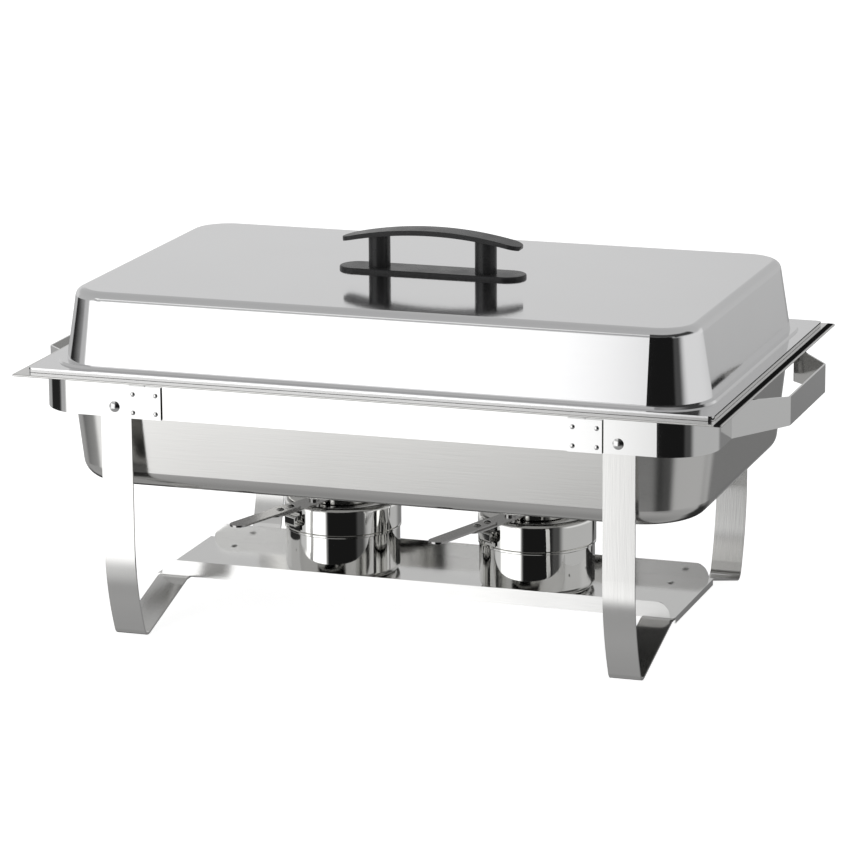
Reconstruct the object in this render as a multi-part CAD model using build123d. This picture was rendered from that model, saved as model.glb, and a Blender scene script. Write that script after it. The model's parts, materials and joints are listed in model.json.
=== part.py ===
from build123d import *
import math
import os

# Full-size (GN 1/1) chafing dish on a folding stand of flat steel strip, in millimetres.
# X runs along the length, Y from the front (-Y) to the back, Z up. The origin is on the
# table, under the middle of the dish.

# ---- Driving dimensions ----
SHEET = 0.8                    # pressed stainless sheet of the pans and the lid
STRIP = 1.5                    # flat strip of the ring
LEG_STRIP = 1.8                # flat strip of the legs

RING_HALF_X = 265.0            # ring, outer faces
RING_HALF_Y = 167.8
RING_CORNER_R = 38.0
RING_BOTTOM = 178.2
RING_HEIGHT = 28.0
JOINT_X = 173.0                # middle of the plates that join rails and end bands
JOINT_GAP = 0.6
PLATE_W = 26.6
PLATE_H = 25.0
PLATE_T = 2.0
SPOT_DX = 9.2                  # spots on a joint plate: from its middle, and above its bottom
SPOT_LOW = 4.5
SPOT_HIGH = 18.8

HANDLE_OUT_X = 299.0           # the end bands bow out into carry handles; outer face
HANDLE_BASE_Y = 97.0
HANDLE_GRIP_Y = 57.0
HANDLE_BEND_R = 5.0
HANDLE_LOW = 181.0             # the bow narrows outwards from the ring's height to this
HANDLE_HIGH = 203.0

LEG_X = 198.0                  # middle of each leg strip, and its pivot
LEG_W = 24.8
PIVOT_Z = 186.0
LEG_FACE_Y = 165.3             # outer face of a leg at the pivot
LEG_KNEE_Z = 45.0              # where the straight leg would turn in
FOOT_Y = 147.0
FOOT_FLAT = 8.0
FOOT_FOLD_R = 8.0
CROSS_HALF_Y = 60.0            # level cross piece under the shelf
CROSS_Z = 21.5                 # its underside
CROSS_FOLD_R = 7.0
LEG_SWEEP_R = 185.0

RIM_HALF_X = 278.0             # water pan
RIM_HALF_Y = 177.5
HEM_W = 5.0                    # the rim's edge is folded back under itself
HEM_T = 2 * SHEET
RIM_TOP = RING_BOTTOM + RING_HEIGHT + HEM_T
WATER_HALF_X = 258.0
WATER_HALF_Y = 159.0
WATER_CORNER_R = 60.0
WATER_BOTTOM = 118.0
WATER_TAPER = 6.5
WATER_FLOOR_R = 15.0

PAN_HALF_X = 265.0             # food pan, GN 1/1
PAN_HALF_Y = 162.5
PAN_RIM_R = 14.0
PAN_RIM_TOP = RIM_TOP + 2.8
PAN_BODY_X = 247.5
PAN_BODY_Y = 145.0
PAN_CORNER_R = 52.0
PAN_BOTTOM = 145.5
PAN_TAPER = 4.0
PAN_FLOOR_R = 14.0

LID_HALF_X = 269.2             # lid
LID_HALF_Y = 167.7
LID_CORNER_R = 4.0
LID_LIP_BOTTOM = RIM_TOP + 0.2
LID_FLANGE_TOP = PAN_RIM_TOP + 0.1 + SHEET
LID_STEP_X = 260.5             # raised bead step just outside the dome
LID_STEP_Y = 160.0
LID_STEP_R = 38.0
LID_STEP_H = 1.8
DOME_HALF_X = 255.5
DOME_HALF_Y = 155.6
DOME_CORNER_R = 40.0
DOME_TAPER = 9.0
LID_TOP = 268.0
LID_EDGE_R = 7.5

POST_X = 43.3                  # lid handle
POST_R = 8.5
GRIP_HALF_X = 73.0
GRIP_D = 20.0
GRIP_T = 4.0
GRIP_PEAK_Z = 302.3
GRIP_END_Z = 293.0
BASE_HALF_X = 75.5
BASE_D = 30.0
BASE_T = 2.6

SHELF_HALF_X = 211.7           # burner shelf
SHELF_HALF_Y = 57.3
SHELF_T = 1.0
SHELF_LIP = 12.6
SHELF_FLANGE = 5.0
PIN_X = 183.0
PIN_Y = 35.0

BURNER_X = {"left": -76.0, "right": 84.5}
CUP_R = 45.2                   # fuel cups
CUP_T = 0.8
CUP_TOP = 80.0
COVER_R = 46.2
COVER_SKIRT = 63.4
COVER_TOP = 84.4
COVER_HOLE_R = 24.0
COLLAR_TOP = 86.4
BEAD_Z = 61.6
SNUFFER_TURN = -18.0           # the snuffer handle points this far from -Y, seen from above
SNUFFER_PIVOT_R = 36.5
SNUFFER_DISC_R = 29.0
SNUFFER_Z = 87.0
SNUFFER_T = 1.0
NECK_W = 18.0
NECK_END_R = 86.0
TAIL_W = 14.0
TAIL_START_R = 58.0
TAIL_END_R = 137.0
LUG_TURN = -33.0

RUN_FIT = 0.06                 # radial clearance round a pin that something turns on
REST_GAP = 0.05                # between sheets that only rest on each other

# ---- Worked out ----
RING_TOP = RING_BOTTOM + RING_HEIGHT
SHELF_Z = CROSS_Z + LEG_STRIP + REST_GAP
BURNER_Z = SHELF_Z + SHELF_T + REST_GAP

nodes = {}


def save(name, shape):
    """Keep a finished piece under its node's name."""
    solids = shape.solids()
    shape = solids[0] if len(solids) == 1 else Compound(children=solids)
    shape.label = name
    nodes[name] = shape


def rounded_prism(half_x, half_y, radius, bottom, height, taper=0.0):
    """A rounded rectangle pushed up from its bottom; a positive taper draws it in."""
    outline = RectangleRounded(2 * half_x, 2 * half_y, radius)
    return Pos(0, 0, bottom) * extrude(outline, height, taper=taper)


def sunk_prism(half_x, half_y, radius, top, depth, taper):
    """A rounded rectangle pushed down from its top, drawn in towards the bottom."""
    outline = RectangleRounded(2 * half_x, 2 * half_y, radius)
    return Pos(0, 0, top) * extrude(outline, -depth, taper=taper)


def box_between(low, high):
    size = [h - l for l, h in zip(low, high)]
    middle = [(h + l) / 2 for l, h in zip(low, high)]
    return Pos(*middle) * Box(*size)


def rivet(head_r, head_h, shank_r, grip, tail_r, tail_h):
    """Domed rivet along Z: the head above z = 0, the shank and the tail below."""
    sphere_r = (head_r ** 2 + head_h ** 2) / (2 * head_h)
    dome = Pos(0, 0, head_h - sphere_r) * Sphere(sphere_r)
    dome = dome & Pos(0, 0, head_h / 2) * Cylinder(head_r * 1.01, head_h)
    shank = Pos(0, 0, -(grip + tail_h) / 2) * Cylinder(shank_r, grip + tail_h)
    tail = Pos(0, 0, -grip - tail_h / 2) * Cylinder(tail_r, tail_h)
    return dome + shank + tail


def along_y(sign):
    """Turn a piece made along Z so that its head points to -Y (sign -1) or +Y."""
    return Rot(90, 0, 0) if sign < 0 else Rot(-90, 0, 0)


# ---- Ring ----
def joint_points():
    """Spots on one joint plate, from the plate's middle and its bottom."""
    return [(dx, dz) for dx in (-SPOT_DX, SPOT_DX) for dz in (SPOT_LOW, SPOT_HIGH)]


def joint_holes(radius):
    holes = []
    for sx in (-1, 1):
        for dx, dz in joint_points():
            place = Pos(sx * JOINT_X + dx, 0, RING_BOTTOM + dz)
            holes.append(place * Rot(90, 0, 0) * Cylinder(radius, 4 * RING_HALF_Y))
    return holes


def end_band():
    """Right end band: one strip round both corners, bowed out between them as a handle."""
    start = JOINT_X + JOINT_GAP / 2
    near = [(start, -RING_HALF_Y), (RING_HALF_X, -RING_HALF_Y), (RING_HALF_X, -HANDLE_BASE_Y),
            (HANDLE_OUT_X, -HANDLE_GRIP_Y)]
    far = [(x, -y) for x, y in reversed(near)]
    radii = [RING_CORNER_R, HANDLE_BEND_R, HANDLE_BEND_R]
    outer_face = FilletPolyline(*(near + far), radius=radii + radii[::-1])
    band = Face(Wire(outer_face.edges()).offset_2d(STRIP, side=Side.LEFT, closed=True))
    band = Pos(0, 0, RING_BOTTOM) * extrude(band, RING_HEIGHT, dir=(0, 0, 1))
    side_view = Polyline((JOINT_X, RING_BOTTOM), (RING_HALF_X, RING_BOTTOM), (HANDLE_OUT_X, HANDLE_LOW),
                         (HANDLE_OUT_X, HANDLE_HIGH), (RING_HALF_X, RING_TOP), (JOINT_X, RING_TOP), close=True)
    return band & extrude(Plane.XZ * make_face(side_view), 2 * RING_HALF_Y, both=True)


def rail(sy):
    half = JOINT_X - JOINT_GAP / 2
    ys = sorted((sy * RING_HALF_Y, sy * (RING_HALF_Y - STRIP)))
    return box_between((-half, ys[0], RING_BOTTOM), (half, ys[1], RING_TOP))


def make_ring():
    spot_r = 1.2
    strips = {"front_rail": rail(-1), "rear_rail": rail(1), "right_end_band": end_band()}
    strips["left_end_band"] = mirror(strips["right_end_band"], Plane.YZ)
    holes = joint_holes(spot_r + REST_GAP)
    for sx in (-1, 1):
        pivot = Pos(sx * LEG_X, 0, PIVOT_Z) * Rot(90, 0, 0)
        holes.append(pivot * Cylinder(2.5 + REST_GAP, 4 * RING_HALF_Y))
    for name, strip in strips.items():
        for hole in holes:
            strip -= hole
        save(name, strip)
    spots = []
    for end, sy in (("front", -1), ("rear", 1)):
        for side, sx in (("left", -1), ("right", 1)):
            middle_y = sy * (RING_HALF_Y + PLATE_T / 2)
            plate = Pos(sx * JOINT_X, middle_y, RING_BOTTOM + PLATE_H / 2) * Box(PLATE_W, PLATE_T, PLATE_H)
            for dx, dz in joint_points():
                at = (sx * JOINT_X + dx, sy * (RING_HALF_Y + PLATE_T), RING_BOTTOM + dz)
                plate -= Pos(*at) * Rot(90, 0, 0) * Cylinder(spot_r + REST_GAP, 10)
                spots.append(Pos(*at) * along_y(sy) * rivet(1.9, 0.5, spot_r, PLATE_T + STRIP, 2.0, 0.6))
            save(f"{end}_{side}_joint_plate", plate)
    save("joint_rivets", Compound(children=[s.solid() for s in spots]))


# ---- Folding legs ----
def leg_side_outline():
    """Outer face of one leg set seen from the side, from the front top to the rear top."""
    top = PIVOT_Z + LEG_W / 2
    front = [(-LEG_FACE_Y, top), (-LEG_FACE_Y, LEG_KNEE_Z), (-FOOT_Y, 0),
             (-FOOT_Y + FOOT_FLAT, 0), (-CROSS_HALF_Y, CROSS_Z)]
    back = [(-y, z) for y, z in reversed(front)]
    radii = [LEG_SWEEP_R, FOOT_FOLD_R, FOOT_FOLD_R, CROSS_FOLD_R]
    return FilletPolyline(*(front + back), radius=radii + radii[::-1])


def make_leg_set(side, sx):
    line = Wire(leg_side_outline().edges())
    face = Face(line.offset_2d(LEG_STRIP, side=Side.LEFT, closed=True))
    face = Plane.YZ * face
    strip = Pos(sx * LEG_X - LEG_W / 2, 0, 0) * extrude(face, LEG_W, dir=(1, 0, 0))
    deep = 4 * LEG_FACE_Y
    shaft = box_between((sx * LEG_X - LEG_W / 2, -deep, -5), (sx * LEG_X + LEG_W / 2, deep, PIVOT_Z))
    crown = Pos(sx * LEG_X, 0, PIVOT_Z) * Rot(90, 0, 0) * Cylinder(LEG_W / 2, 2 * deep)
    strip = strip & (shaft + crown)
    strip -= Pos(sx * LEG_X, 0, PIVOT_Z) * Rot(90, 0, 0) * Cylinder(2.5 + RUN_FIT, 2 * deep)
    save(f"{side}_leg_strip", strip)


def make_leg_pivots():
    pins = []
    washers = []
    washer_t = RING_HALF_Y - STRIP - LEG_FACE_Y - 2 * REST_GAP
    grip = RING_HALF_Y - LEG_FACE_Y + LEG_STRIP + 0.1
    for sx in (-1, 1):
        for sy in (-1, 1):
            at = Pos(sx * LEG_X, sy * RING_HALF_Y, PIVOT_Z) * along_y(sy)
            pins.append((at * rivet(4.3, 1.2, 2.5, grip, 4.2, 1.3)).solid())
            washer = Cylinder(6.5, washer_t) - Cylinder(2.5 + RUN_FIT, 2 * washer_t)
            washer_y = sy * (LEG_FACE_Y + REST_GAP + washer_t / 2)
            washers.append((Pos(sx * LEG_X, washer_y, PIVOT_Z) * Rot(90, 0, 0) * washer).solid())
    save("leg_pivot_rivets", Compound(children=pins))
    save("leg_pivot_washers", Compound(children=washers))


# ---- Pans ----
def make_water_pan():
    depth = RIM_TOP - WATER_BOTTOM
    outer = sunk_prism(WATER_HALF_X, WATER_HALF_Y, WATER_CORNER_R, RIM_TOP, depth, WATER_TAPER)
    outer = fillet(outer.faces().sort_by(Axis.Z)[0].edges(), WATER_FLOOR_R)
    inner = sunk_prism(WATER_HALF_X - SHEET, WATER_HALF_Y - SHEET, WATER_CORNER_R - SHEET,
                       RIM_TOP, depth - SHEET, WATER_TAPER)
    inner = fillet(inner.faces().sort_by(Axis.Z)[0].edges(), WATER_FLOOR_R - SHEET)
    rim = rounded_prism(RIM_HALF_X, RIM_HALF_Y, 2.0, RIM_TOP - HEM_T, HEM_T)
    rim = fillet(rim.faces().filter_by(Axis.Z).edges(), HEM_T * 0.47)
    rim -= rounded_prism(RIM_HALF_X - HEM_W, RIM_HALF_Y - HEM_W, 0.5, RIM_TOP - HEM_T - 1,
                         HEM_T - SHEET + 1)
    save("water_pan", rim + outer - inner)


def make_food_pan():
    depth = PAN_RIM_TOP - PAN_BOTTOM
    outer = sunk_prism(PAN_BODY_X, PAN_BODY_Y, PAN_CORNER_R, PAN_RIM_TOP, depth, PAN_TAPER)
    outer = fillet(outer.faces().sort_by(Axis.Z)[0].edges(), PAN_FLOOR_R)
    inner = sunk_prism(PAN_BODY_X - SHEET, PAN_BODY_Y - SHEET, PAN_CORNER_R - SHEET,
                       PAN_RIM_TOP, depth - SHEET, PAN_TAPER)
    inner = fillet(inner.faces().sort_by(Axis.Z)[0].edges(), PAN_FLOOR_R - SHEET)
    drop = PAN_RIM_TOP - RIM_TOP - REST_GAP
    rim = rounded_prism(PAN_HALF_X, PAN_HALF_Y, PAN_RIM_R, PAN_RIM_TOP - drop, drop)
    rim -= rounded_prism(PAN_HALF_X - SHEET, PAN_HALF_Y - SHEET, PAN_RIM_R - SHEET, PAN_RIM_TOP - drop - 1,
                         drop - SHEET + 1)
    save("food_pan", rim + outer - inner)


# ---- Lid ----
def dome_solid(inset, top):
    """The dome's outside (inset 0) or inside, from the flange to its top."""
    height = top - LID_FLANGE_TOP + SHEET
    dome = rounded_prism(DOME_HALF_X - inset, DOME_HALF_Y - inset, DOME_CORNER_R - inset,
                         LID_FLANGE_TOP - SHEET, height, DOME_TAPER)
    return fillet(dome.faces().sort_by(Axis.Z)[-1].edges(), LID_EDGE_R - inset)


def make_lid_shell():
    lip_h = LID_FLANGE_TOP - LID_LIP_BOTTOM
    lip = rounded_prism(LID_HALF_X, LID_HALF_Y, LID_CORNER_R, LID_LIP_BOTTOM, lip_h)
    lip -= rounded_prism(LID_HALF_X - SHEET, LID_HALF_Y - SHEET, LID_CORNER_R - SHEET,
                         LID_LIP_BOTTOM - 1, lip_h - SHEET + 1)
    step = rounded_prism(LID_STEP_X, LID_STEP_Y, LID_STEP_R, LID_FLANGE_TOP - SHEET, LID_STEP_H + SHEET, 30)
    step -= rounded_prism(LID_STEP_X - 1.4, LID_STEP_Y - 1.4, LID_STEP_R - 1.4, LID_FLANGE_TOP - SHEET - 1,
                          LID_STEP_H + 1, 30)
    shell = lip + step + dome_solid(0, LID_TOP)
    shell -= dome_solid(SHEET, LID_TOP - SHEET)
    shell -= rounded_prism(DOME_HALF_X - SHEET, DOME_HALF_Y - SHEET, DOME_CORNER_R - SHEET,
                           LID_FLANGE_TOP - SHEET - 1, 1.01)
    for sx in (-1, 1):
        shell -= Pos(sx * POST_X, 0, LID_TOP) * Cylinder(2.1, 10)
    save("lid_shell", shell)


def grip_outline():
    """Side view of the arched grip."""
    under = GRIP_PEAK_Z - GRIP_T
    ends = GRIP_END_Z - GRIP_T + 1.0
    top = ThreePointArc((-GRIP_HALF_X, GRIP_END_Z), (0, GRIP_PEAK_Z), (GRIP_HALF_X, GRIP_END_Z))
    low = ThreePointArc((GRIP_HALF_X - 1.5, ends), (0, under), (-GRIP_HALF_X + 1.5, ends))
    closing = [Line(top @ 1, low @ 0), Line(low @ 1, top @ 0)]
    return make_face(Curve() + [top, low] + closing)


def make_lid_handle():
    plate = Pos(0, 0, LID_TOP) * extrude(SlotOverall(2 * BASE_HALF_X, BASE_D), BASE_T)
    plate = fillet(plate.faces().sort_by(Axis.Z)[-1].edges(), 1.2)
    grip = extrude(Plane.XZ * grip_outline(), GRIP_D / 2, both=True)
    outline = Pos(0, 0, LID_TOP) * extrude(SlotOverall(2 * GRIP_HALF_X, GRIP_D), 60)
    grip = grip & outline
    posts = []
    screws = []
    washers = []
    nuts = []
    foot = LID_TOP + BASE_T
    for sx in (-1, 1):
        block = Pos(sx * POST_X, 0, foot) * extrude(Circle(POST_R), 40)
        below = extrude(Plane.XZ * grip_outline(), 40, both=True)
        post = block - below - box_between((-200, -200, GRIP_END_Z + 6), (200, 200, 400))
        post = post.solids().sort_by(Axis.Z)[0]
        bore = Pos(sx * POST_X, 0, LID_TOP + 4) * Cylinder(2.0 + REST_GAP, 32)
        plate -= bore
        posts.append((Part() + post - bore).solid())
        washers.append((Pos(sx * POST_X, 0, LID_TOP - SHEET - 0.6)
                        * (Cylinder(6, 1.0) - Cylinder(2.1, 3))).solid())
        shank_top = LID_TOP + 19.0
        shank_low = LID_TOP - SHEET - 9.0
        screw = Pos(sx * POST_X, 0, (shank_top + shank_low) / 2) * Cylinder(2.0, shank_top - shank_low)
        screws.append(screw.solid())
        hexagon = extrude(RegularPolygon(3.9, 6), 3.2) - Cylinder(2.0 + REST_GAP, 20)
        nuts.append((Pos(sx * POST_X, 0, LID_TOP - SHEET - 1.15 - 3.2) * hexagon).solid())
    save("lid_handle_base", plate)
    save("lid_handle_posts", Compound(children=posts))
    save("lid_handle_grip", grip)
    save("lid_handle_screws", Compound(children=screws))
    save("lid_handle_washers", Compound(children=washers))
    save("lid_handle_nuts", Compound(children=nuts))


# ---- Burner shelf ----
def make_shelf():
    top = SHELF_Z + SHELF_T
    tray = box_between((-SHELF_HALF_X, -SHELF_HALF_Y, SHELF_Z), (SHELF_HALF_X, SHELF_HALF_Y, top))
    lip_half = SHELF_HALF_X - 4.0
    for sy in (-1, 1):
        lip = Box(2 * lip_half, SHELF_T, SHELF_LIP)
        lip = Pos(0, sy * (SHELF_HALF_Y - SHELF_T / 2), SHELF_Z + SHELF_LIP / 2) * lip
        upper = lip.edges().filter_by(Axis.Y).group_by(Axis.Z)[-1]
        tray += fillet(upper, SHELF_LIP - 1.5)
    for sx in (-1, 1):
        flange = Box(SHELF_T, 2 * SHELF_HALF_Y - 4, SHELF_FLANGE)
        tray += Pos(sx * (SHELF_HALF_X - SHELF_T / 2), 0, top - SHELF_FLANGE / 2) * flange
    pins = []
    for sx in (-1, 1):
        for sy in (-1, 1):
            at = Pos(sx * PIN_X, sy * PIN_Y, top)
            tray -= at * Cylinder(1.6 + REST_GAP, 10)
            pins.append((at * rivet(3.0, 1.2, 1.6, SHELF_T, 2.4, 1.0)).solid())
    save("fuel_shelf", tray)
    save("shelf_locating_pins", Compound(children=pins))


# ---- Fuel burners ----
def turned(points):
    """Solid of revolution about Z from a closed outline of (radius, height) points."""
    face = make_face(Polyline(*points, close=True))
    return revolve(Plane.XZ * face, Axis.Z)


def make_cup(side, x):
    floor = BURNER_Z
    outer = Pos(0, 0, floor) * extrude(Circle(CUP_R), CUP_TOP - floor)
    outer = fillet(outer.edges().sort_by(Axis.Z)[0], 6.0)
    bead = turned([(CUP_R - 0.4, BEAD_Z - 1.6), (CUP_R + 1.0, BEAD_Z - 0.6), (CUP_R + 1.0, BEAD_Z + 0.6),
                   (CUP_R - 0.4, BEAD_Z + 1.6)])
    inner = Pos(0, 0, floor + CUP_T) * extrude(Circle(CUP_R - CUP_T), CUP_TOP)
    inner = fillet(inner.edges().sort_by(Axis.Z)[0], 6.0 - CUP_T)
    save(f"{side}_fuel_cup", Pos(x, 0, 0) * (outer + bead - inner))


def snuffer_point(x, radius, turn=SNUFFER_TURN):
    """A point at a radius from the cup's axis, on the line the snuffer handle takes."""
    angle = math.radians(turn)
    return (x + radius * math.sin(angle), -radius * math.cos(angle))


def make_cover(side, x):
    outer = Pos(0, 0, COVER_SKIRT) * extrude(Circle(COVER_R), COVER_TOP - COVER_SKIRT)
    outer = fillet(outer.edges().sort_by(Axis.Z)[-1], 4.0)
    inner_h = COVER_TOP - CUP_T - COVER_SKIRT + 1
    inner = Pos(0, 0, COVER_SKIRT - 1) * extrude(Circle(COVER_R - CUP_T), inner_h)
    inner = fillet(inner.edges().sort_by(Axis.Z)[-1], 4.0 - CUP_T)
    cover = outer - inner
    collar_low = COVER_TOP - CUP_T
    cover += Pos(0, 0, collar_low) * extrude(Circle(COVER_HOLE_R + CUP_T), COLLAR_TOP - collar_low)
    cover -= Pos(0, 0, collar_low - 5) * extrude(Circle(COVER_HOLE_R), 20)
    cover = Pos(x, 0, 0) * cover
    pivot = snuffer_point(x, SNUFFER_PIVOT_R)
    cover -= Pos(pivot[0], pivot[1], COVER_TOP) * Cylinder(2.0 + REST_GAP, 6)
    pin = Cylinder(2.0, SNUFFER_Z + SNUFFER_T + 0.5 - collar_low + 0.5)
    pin = Pos(0, 0, (SNUFFER_Z + SNUFFER_T + 0.5 + collar_low - 0.5) / 2) * pin
    pin += Pos(0, 0, collar_low - REST_GAP - 0.6) * Cylinder(4.0, 1.2)
    spacer_low = COVER_TOP + REST_GAP
    spacer_high = SNUFFER_Z - REST_GAP
    pin += Pos(0, 0, (spacer_low + spacer_high) / 2) * Cylinder(4.5, spacer_high - spacer_low)
    pin += Pos(0, 0, SNUFFER_Z + SNUFFER_T + REST_GAP) * extrude(Circle(4.2), 1.4)
    save(f"{side}_cup_cover", cover)
    save(f"{side}_snuffer_pivot", Pos(pivot[0], pivot[1], 0) * pin)


def make_snuffer(side, x):
    """A swinging plate that closes the cover's opening, with a riveted strip handle."""
    turn = Pos(x, 0, 0) * Rot(0, 0, SNUFFER_TURN)
    disc = Circle(SNUFFER_DISC_R)
    neck = Pos(0, -NECK_END_R / 2) * Rectangle(NECK_W, NECK_END_R)
    neck += Pos(0, -NECK_END_R) * Circle(NECK_W / 2)
    blade = disc + neck
    blade -= Pos(0, -SNUFFER_PIVOT_R) * Circle(2.0 + RUN_FIT)
    tail_low = SNUFFER_Z + SNUFFER_T + REST_GAP
    tail_t = 1.5
    tail_mid = -(TAIL_START_R + TAIL_END_R) / 2
    tail = Pos(0, tail_mid) * Rot(0, 0, 90) * SlotOverall(TAIL_END_R - TAIL_START_R, TAIL_W)
    rivets = []
    for radius in (66.0, 79.0):
        blade -= Pos(0, -radius) * Circle(1.6 + REST_GAP)
        tail -= Pos(0, -radius) * Circle(1.6 + REST_GAP)
        pin = rivet(3.2, 1.4, 1.6, tail_t + SNUFFER_T + REST_GAP, 2.6, 0.8)
        rivets.append((turn * Pos(0, -radius, tail_low + tail_t) * pin).solid())
    save(f"{side}_snuffer_plate", turn * Pos(0, 0, SNUFFER_Z) * extrude(blade, SNUFFER_T))
    save(f"{side}_snuffer_handle", turn * Pos(0, 0, tail_low) * extrude(tail, tail_t))
    save(f"{side}_snuffer_rivets", Compound(children=rivets))


def make_lug(side, x):
    """A strip loop on the cover's skirt, to lift the burner by."""
    wall = COVER_R + REST_GAP
    low = COVER_SKIRT + 0.6
    high = COVER_TOP - 4.4
    path = FilletPolyline((wall, low), (wall, low + 4.5), (wall + 5.5, low + 4.5), (wall + 5.5, high - 4.5),
                          (wall, high - 4.5), (wall, high), radius=1.3)
    face = Face(Wire(path.edges()).offset_2d(1.0, side=Side.RIGHT, closed=True))
    lug = extrude(Plane.XZ * face, 6, both=True)
    save(f"{side}_cup_lug", Pos(x, 0, 0) * Rot(0, 0, LUG_TURN - 90) * lug)


def make_all():
    make_ring()
    make_leg_pivots()
    make_leg_set("left", -1)
    make_leg_set("right", 1)
    make_shelf()
    make_water_pan()
    make_food_pan()
    make_lid_shell()
    make_lid_handle()
    for side, x in BURNER_X.items():
        make_cup(side, x)
        make_cover(side, x)
        make_snuffer(side, x)
        make_lug(side, x)


os.makedirs("parts", exist_ok=True)
make_all()
for name, shape in nodes.items():
    export_step(shape, f"parts/{name}.step")
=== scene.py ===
import json
import math

import bpy
from mathutils import Matrix, Vector

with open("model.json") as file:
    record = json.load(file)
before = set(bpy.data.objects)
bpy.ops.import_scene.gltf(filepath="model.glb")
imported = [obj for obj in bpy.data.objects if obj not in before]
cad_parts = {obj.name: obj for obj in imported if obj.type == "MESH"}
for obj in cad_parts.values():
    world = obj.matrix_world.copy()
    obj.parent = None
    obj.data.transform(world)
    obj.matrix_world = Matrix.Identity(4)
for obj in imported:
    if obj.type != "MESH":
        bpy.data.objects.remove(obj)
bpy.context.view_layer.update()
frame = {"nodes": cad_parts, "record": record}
nodes = frame["nodes"]

# Lengths are in metres and angles in degrees. Azimuth 0 is the front (-Y) and 90 the right end (+X).

# ---- Camera: a long lens, a little above the lid and round to the right ----
TARGET = Vector((-0.0071, 0.0, 0.1459))
CAMERA_AZIMUTH = 18.752
CAMERA_ELEVATION = 13.852
CAMERA_DISTANCE = 3.2811
CAMERA_ROLL = -0.405
LENS = 177.9
SENSOR_WIDTH = 36.0

# ---- Floor ----
FLOOR_SIZE = 40.0
FLOOR_WHITE = 0.80
FLOOR_MOTTLE = 0.01
FLOOR_CLOUDS = 3.0  # patches of tone, across a metre
FLOOR_GLOW = 0.84  # lifts the floor to the backdrop's white
FLOOR_ROUGHNESS = 0.9

# ---- Studio: what polished steel mirrors ----
# The room's brightness by elevation.
ROOM = [(-90, 0.25), (-45, 0.40), (-20, 0.35), (0, 0.55), (45, 0.50), (90, 0.47)]
# Panels, each laid over the ones before it:
# azimuth, half width, elevation, half height, soft edge, brightness.
PANELS = {
    "right_wall": (105, 45, -18, 15, 14, 0.50),
    "right_glow": (115, 42, 4, 12, 14, 0.80),
    "back_glow": (-140, 28, 5, 10, 12, 0.72),
    "end_card": (160, 7, 0, 10, 8, 0.55),
    "end_shade": (170, 14, -24, 13, 12, 0.20),
    "back_skirting": (180, 50, -38, 14, 12, 0.03),
    "left_flag": (-95, 20, -10, 9, 8, 0.02),
    "low_softbox": (-52, 26, -25, 8, 10, 1.10),
    "front_softbox": (-37, 22, -6, 20, 7, 1.55),
    "flange_softbox": (-32, 16, 31, 4, 6, 1.10),
    "front_shade": (50, 15, -10, 26, 14, 0.07),
    "front_flag": (17, 30, -3, 24, 8, 0.01),
    "upper_flag": (50, 65, 33, 13, 12, 0.05),
}
BACKDROP = 1.0  # what the camera sees behind the object

# ---- Steel finish ----
STEEL_TINT = 0.03  # how far the grey drifts either way
STEEL_CLOUDS = 14.0  # patches of uneven polish, across a metre
CLOUD_SHARE = 0.6  # of the uneven polish; the grain makes the rest
STEEL_NOISE = (0.35, 0.65)  # the noise that runs from the smoothest polish to the roughest
GRAIN_STRENGTH = 0.035
GRAIN_DEPTH = 0.0002
SHEET_WAVES = 9.0  # soft waves in the sheet, across a metre

# ---- Painted shade: a dark line along the water pan's rim ----
RIM_SHADE_INSET = 0.0064  # from the rim's right edge
RIM_SHADE_WIDTH = 0.0050
RIM_SHADE_FADE_IN = 0.0006
RIM_SHADE_FADE_OUT = 0.0010
RIM_SHADE_GREY = 0.02
PLAIN_SPECULAR = 0.5

# ---- Moulded handle ----
PLASTIC_TINT = 0.15
PLASTIC_ROUGHNESS_SPREAD = 0.06
PLASTIC_CLOUDS = 60.0
PLASTIC_NOISE = (0.3, 0.7)
PLASTIC_PITS = 2200.0
PIT_STRENGTH = 0.25
PIT_DEPTH = 0.0001
MOULDED_PIECES = ("lid_handle_grip", "lid_handle_base")
MOULDED_EDGE = 0.0011
MOULDED_EDGE_SEGMENTS = 3
SHARP_ANGLE = 40


# ---- Shader building blocks ----
def node(tree, kind, inputs=None, **settings):
    """Adds a shader node; inputs are plain values or the sockets that feed them."""
    made = tree.nodes.new(kind)
    for key, value in settings.items():
        setattr(made, key, value)
    for key, value in (inputs or {}).items():
        if isinstance(value, bpy.types.NodeSocket):
            tree.links.new(value, made.inputs[key])
        else:
            made.inputs[key].default_value = value
    return made


def maths(tree, operation, *values):
    """The result of one operation on up to three values."""
    return node(tree, "ShaderNodeMath", dict(enumerate(values)), operation=operation).outputs[0]


def mix(tree, factor, first, second):
    """A colour between two."""
    return node(tree, "ShaderNodeMix", {0: factor, 6: first, 7: second}, data_type="RGBA").outputs[2]


def rescale(tree, value, start, end, low=0.0, high=1.0, interpolation="LINEAR"):
    """Takes a value between start and end to one between low and high, and holds it beyond them."""
    return node(tree, "ShaderNodeMapRange", {
        "Value": value, "From Min": start, "From Max": end, "To Min": low, "To Max": high},
        interpolation_type=interpolation).outputs[0]


def noise(tree, place, scale, detail):
    """Soft random patches."""
    made = node(tree, "ShaderNodeTexNoise", {"Vector": place, "Scale": scale, "Detail": detail})
    return made.outputs["Fac"]


def grey(value):
    """An opaque grey."""
    return (value, value, value, 1.0)


def tint(tree, factor, colour, drift):
    """A colour that drifts a little darker and lighter."""
    darker = (*[channel * (1 - drift) for channel in colour], 1.0)
    lighter = (*[min(1.0, channel * (1 + drift)) for channel in colour], 1.0)
    return mix(tree, factor, darker, lighter)


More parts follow.
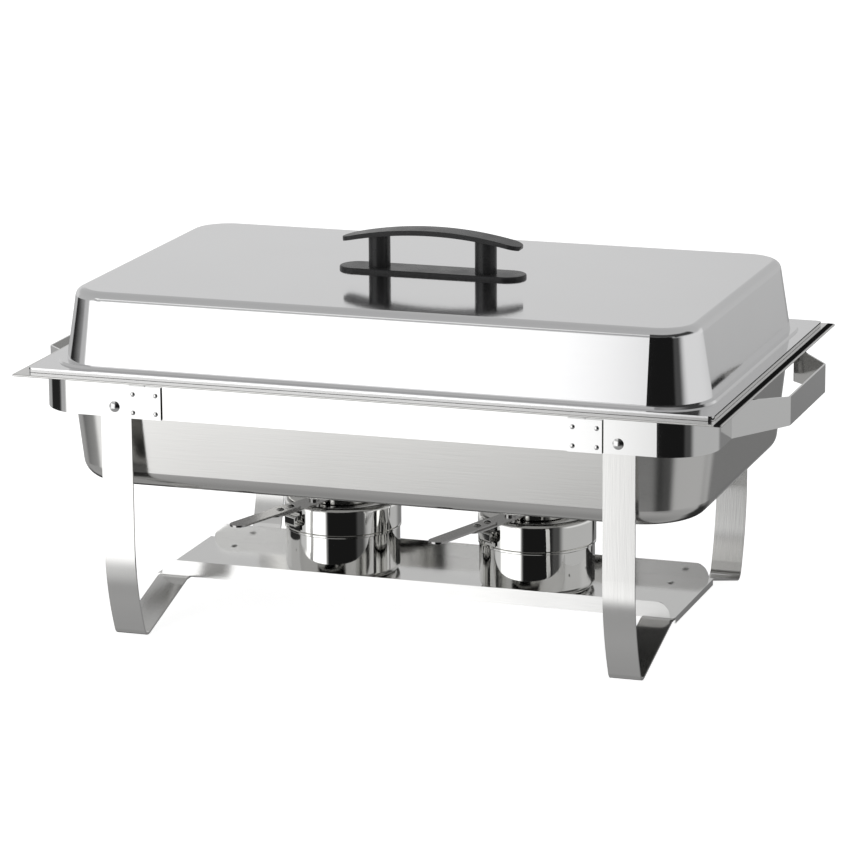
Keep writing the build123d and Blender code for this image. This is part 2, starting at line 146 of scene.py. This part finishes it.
def ramp(tree, factor, stops):
    """A grey ramp of (position, value) stops."""
    made = node(tree, "ShaderNodeValToRGB", {"Fac": factor})
    elements = made.color_ramp.elements
    while len(elements) > 1:
        elements.remove(elements[-1])
    first_position, first_value = stops[0]
    elements[0].position = first_position
    elements[0].color = grey(first_value)
    for position, value in stops[1:]:
        elements.new(position).color = grey(value)
    return made.outputs["Color"]


def fade(tree, offset, reach, softness):
    """One within an angle's reach on either side, and zero past its soft edge."""
    return rescale(tree, maths(tree, "ABSOLUTE", offset), math.radians(reach - softness / 2),
                   math.radians(reach + softness / 2), 1.0, 0.0, "SMOOTHSTEP")


# ---- Studio and camera ----
def add_panel(tree, shown, turn, height, panel):
    """Lays one panel over what is shown so far."""
    azimuth, half_width, elevation, half_height, softness, brightness = panel
    aside = maths(tree, "SUBTRACT", turn, math.radians(azimuth))
    aside = maths(tree, "WRAP", aside, math.pi, -math.pi)
    above = maths(tree, "SUBTRACT", height, math.radians(elevation))
    inside = maths(tree, "MULTIPLY", fade(tree, aside, half_width, softness),
                   fade(tree, above, half_height, softness))
    return mix(tree, inside, shown, grey(brightness))


def make_world():
    """Room and panels for the steel to mirror, and a white backdrop for the camera."""
    world = bpy.data.worlds.new("studio")
    bpy.context.scene.world = world
    world.use_nodes = True
    tree = world.node_tree
    tree.nodes.clear()
    direction = node(tree, "ShaderNodeTexCoord").outputs["Generated"]
    split = node(tree, "ShaderNodeSeparateXYZ", {0: direction}).outputs
    turn = maths(tree, "ARCTAN2", split["X"], maths(tree, "MULTIPLY", split["Y"], -1.0))
    height = maths(tree, "ARCSINE", split["Z"])
    rise = maths(tree, "ADD", maths(tree, "DIVIDE", height, math.pi), 0.5)
    shown = ramp(tree, rise, [(elevation / 180 + 0.5, value) for elevation, value in ROOM])
    for panel in PANELS.values():
        shown = add_panel(tree, shown, turn, height, panel)
    to_camera = node(tree, "ShaderNodeLightPath").outputs["Is Camera Ray"]
    shown = mix(tree, to_camera, shown, grey(BACKDROP))
    background = node(tree, "ShaderNodeBackground", {"Color": shown, "Strength": 1.0})
    output = node(tree, "ShaderNodeOutputWorld")
    tree.links.new(background.outputs[0], output.inputs["Surface"])


def make_floor():
    """A wide pale floor, left out of the steel's reflections."""
    half = FLOOR_SIZE / 2
    mesh = bpy.data.meshes.new("floor")
    mesh.from_pydata([(-half, -half, 0), (half, -half, 0), (half, half, 0), (-half, half, 0)], [],
                     [(0, 1, 2, 3)])
    floor = bpy.data.objects.new("floor", mesh)
    bpy.context.scene.collection.objects.link(floor)
    floor.visible_glossy = False
    material = bpy.data.materials.new("floor_white")
    material.use_nodes = True
    tree = material.node_tree
    shader = tree.nodes["Principled BSDF"]
    position = node(tree, "ShaderNodeNewGeometry").outputs["Position"]
    tone = rescale(tree, noise(tree, position, FLOOR_CLOUDS, 3.0), 0.0, 1.0,
                   FLOOR_WHITE - FLOOR_MOTTLE, FLOOR_WHITE + FLOOR_MOTTLE)
    tree.links.new(tone, shader.inputs["Base Color"])
    shader.inputs["Roughness"].default_value = FLOOR_ROUGHNESS
    shader.inputs["Emission Color"].default_value = grey(1.0)
    shader.inputs["Emission Strength"].default_value = FLOOR_GLOW
    mesh.materials.append(material)


def make_camera():
    """The camera, aimed at TARGET."""
    azimuth = math.radians(CAMERA_AZIMUTH)
    elevation = math.radians(CAMERA_ELEVATION)
    back = Vector((math.sin(azimuth) * math.cos(elevation), -math.cos(azimuth) * math.cos(elevation),
                   math.sin(elevation)))
    camera = bpy.data.objects.new("camera", bpy.data.cameras.new("camera"))
    bpy.context.scene.collection.objects.link(camera)
    aim = (-back).to_track_quat("-Z", "Y").to_matrix().to_4x4()
    roll = Matrix.Rotation(math.radians(CAMERA_ROLL), 4, "Z")
    camera.matrix_world = Matrix.Translation(TARGET + back * CAMERA_DISTANCE) @ aim @ roll
    camera.data.lens = LENS
    camera.data.sensor_width = SENSOR_WIDTH
    bpy.context.scene.camera = camera


# ---- Materials ----
def blank_material(name):
    """A new material, its node tree and shader, and the piece's own coordinates."""
    material = bpy.data.materials.new(name)
    material.use_nodes = True
    tree = material.node_tree
    place = node(tree, "ShaderNodeTexCoord").outputs["Object"]
    return material, tree, tree.nodes["Principled BSDF"], place


def steel(name, colour, roughness, spread, grain, waves):
    """Polished or satin sheet: fine grain, uneven polish and soft waves.

    Spread is how far the roughness varies, grain how fine the lines are along each axis, and waves
    their height.
    """
    material, tree, shader, place = blank_material(name)
    shader.inputs["Metallic"].default_value = 1.0
    cloud = noise(tree, place, STEEL_CLOUDS, 4.0)
    tree.links.new(tint(tree, cloud, colour, STEEL_TINT), shader.inputs["Base Color"])
    streaks = node(tree, "ShaderNodeMapping", {"Vector": place, "Scale": grain}).outputs[0]
    lines = noise(tree, streaks, 1.0, 3.0)
    smudge = maths(tree, "ADD", maths(tree, "MULTIPLY", cloud, CLOUD_SHARE),
                   maths(tree, "MULTIPLY", lines, 1 - CLOUD_SHARE))
    rough = rescale(tree, smudge, *STEEL_NOISE, roughness - spread, roughness + spread)
    tree.links.new(rough, shader.inputs["Roughness"])
    fine = node(tree, "ShaderNodeBump", {
        "Height": lines, "Strength": GRAIN_STRENGTH, "Distance": GRAIN_DEPTH})
    slow = node(tree, "ShaderNodeBump", {
        "Height": noise(tree, place, SHEET_WAVES, 1.0), "Strength": 1.0, "Distance": waves,
        "Normal": fine.outputs[0]})
    tree.links.new(slow.outputs[0], shader.inputs["Normal"])
    return material


def paint_rim_shade(material, edge):
    """Paints shade: blackens a narrow line just inside the rim's right edge."""
    tree = material.node_tree
    shader = tree.nodes["Principled BSDF"]
    unshaded_colour = shader.inputs["Base Color"].links[0].from_socket
    place = node(tree, "ShaderNodeTexCoord").outputs["Object"]
    across = node(tree, "ShaderNodeSeparateXYZ", {0: place}).outputs["X"]
    start = edge - RIM_SHADE_INSET
    end = start + RIM_SHADE_WIDTH
    near = rescale(tree, across, start, start + RIM_SHADE_FADE_IN, 1.0, 0.0)
    far = rescale(tree, across, end, end + RIM_SHADE_FADE_OUT)
    bright = maths(tree, "MAXIMUM", near, far)
    # Painted shade: inside the line, a dark plain grey takes the place of the steel's colour, metal and
    # sheen.
    tree.links.new(mix(tree, bright, grey(RIM_SHADE_GREY), unshaded_colour), shader.inputs["Base Color"])
    tree.links.new(bright, shader.inputs["Metallic"])
    tree.links.new(maths(tree, "MULTIPLY", bright, PLAIN_SPECULAR), shader.inputs["Specular IOR Level"])


def plastic(name, colour, roughness, specular):
    """Black moulded plastic with a finely pitted skin."""
    material, tree, shader, place = blank_material(name)
    cloud = noise(tree, place, PLASTIC_CLOUDS, 4.0)
    tree.links.new(tint(tree, cloud, colour, PLASTIC_TINT), shader.inputs["Base Color"])
    rough = rescale(tree, cloud, *PLASTIC_NOISE,
                    roughness - PLASTIC_ROUGHNESS_SPREAD, roughness + PLASTIC_ROUGHNESS_SPREAD)
    tree.links.new(rough, shader.inputs["Roughness"])
    shader.inputs["Specular IOR Level"].default_value = specular
    skin = node(tree, "ShaderNodeBump", {
        "Height": noise(tree, place, PLASTIC_PITS, 2.0), "Strength": PIT_STRENGTH, "Distance": PIT_DEPTH})
    tree.links.new(skin.outputs[0], shader.inputs["Normal"])
    return material


# Steel: colour, roughness, its spread, grain and waves. Plastic: colour, roughness and specular level.
MATERIALS = {
    "lid_steel": steel("lid_polish", (0.80, 0.80, 0.805), 0.085, 0.015, (40.0, 900.0, 900.0), 0.00003),
    "pan_steel": steel("pan_satin", (0.74, 0.735, 0.72), 0.15, 0.025, (30.0, 900.0, 900.0), 0.00004),
    "ring_steel": steel("ring_polish", (0.79, 0.79, 0.785), 0.08, 0.02, (30.0, 30.0, 1500.0), 0.00004),
    "leg_steel": steel("leg_polish", (0.76, 0.757, 0.745), 0.12, 0.02, (900.0, 40.0, 40.0), 0.00002),
    "shelf_steel": steel("shelf_polish", (0.76, 0.758, 0.75), 0.14, 0.03, (40.0, 1200.0, 1200.0), 0.00005),
    "burner_chrome": steel("burner_mirror", (0.82, 0.818, 0.80), 0.05, 0.015, (600.0, 600.0, 25.0), 0.00006),
    "snuffer_steel": steel("snuffer_polish", (0.46, 0.455, 0.45), 0.16, 0.04, (900.0, 900.0, 900.0), 0.00005),
    "fastener_steel": steel("fastener_polish", (0.70, 0.70, 0.695), 0.18, 0.04, (900.0, 900.0, 900.0),
                            0.00002),
    "handle_plastic": plastic("handle_black", (0.045, 0.045, 0.046), 0.28, 0.28),
}


def paint_nodes():
    """Gives each CAD node its slot's material."""
    for part in frame["record"]["subparts"]:
        mesh = nodes[part["node"]].data
        mesh.materials.clear()
        mesh.materials.append(MATERIALS[part["material_slot"]])


def soften_edges(name):
    """Rounds a moulded piece's edges, as its mould does."""
    bevel = nodes[name].modifiers.new("soft_edges", "BEVEL")
    bevel.width = MOULDED_EDGE
    bevel.segments = MOULDED_EDGE_SEGMENTS
    bevel.limit_method = "ANGLE"
    bevel.angle_limit = math.radians(SHARP_ANGLE)


bpy.context.scene.view_settings.view_transform = "Standard"
make_world()
make_floor()
make_camera()
paint_nodes()
rim_edge = max(vertex.co.x for vertex in nodes["water_pan"].data.vertices)
# Painted shade: a dark line along the water pan rim's right edge.
paint_rim_shade(MATERIALS["pan_steel"], rim_edge)
for moulded_piece in MOULDED_PIECES:
    soften_edges(moulded_piece)
